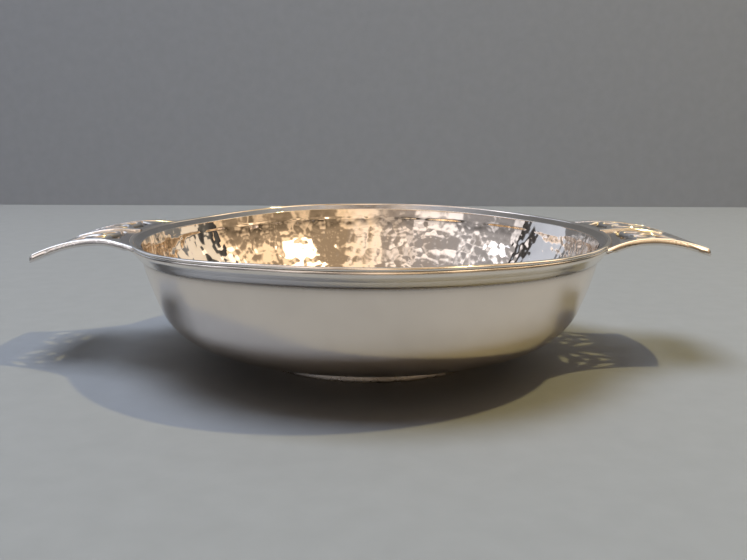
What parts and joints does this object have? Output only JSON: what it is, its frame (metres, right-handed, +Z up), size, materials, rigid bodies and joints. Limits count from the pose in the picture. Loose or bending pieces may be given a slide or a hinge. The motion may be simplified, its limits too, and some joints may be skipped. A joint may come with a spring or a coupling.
{
  "type": "quaich",
  "caption": "Shallow silver drinking bowl with a hammered inside, a wired and reeded lip, a low foot ring and flat arched handles pierced with knotwork.",
  "frame": {"origin": "on the table under the middle of the bowl, at the foot ring's resting plane", "axes": "+X along the handles, +Z up out of the bowl's mouth, -Y towards the viewer of the picture"},
  "size_m": [0.1636, 0.116, 0.0316],
  "materials": {
    "bowl_silver": "sterling silver, hammered inside, planished and polished outside",
    "rim_silver": "sterling silver, drawn wire and moulding, polished",
    "foot_silver": "sterling silver, worn polish",
    "handle_silver": "sterling silver, polished high points with darker sunk ground"
  },
  "bodies": {
    "root": {"bowl": "bowl_silver", "lip_wire": "rim_silver", "rim_moulding": "rim_silver", "foot_ring": "foot_silver", "right_handle": "handle_silver", "right_handle_border": "handle_silver", "right_handle_rib": "handle_silver", "left_handle": "handle_silver", "left_handle_border": "handle_silver", "left_handle_rib": "handle_silver"}
  },
  "joints": []
}
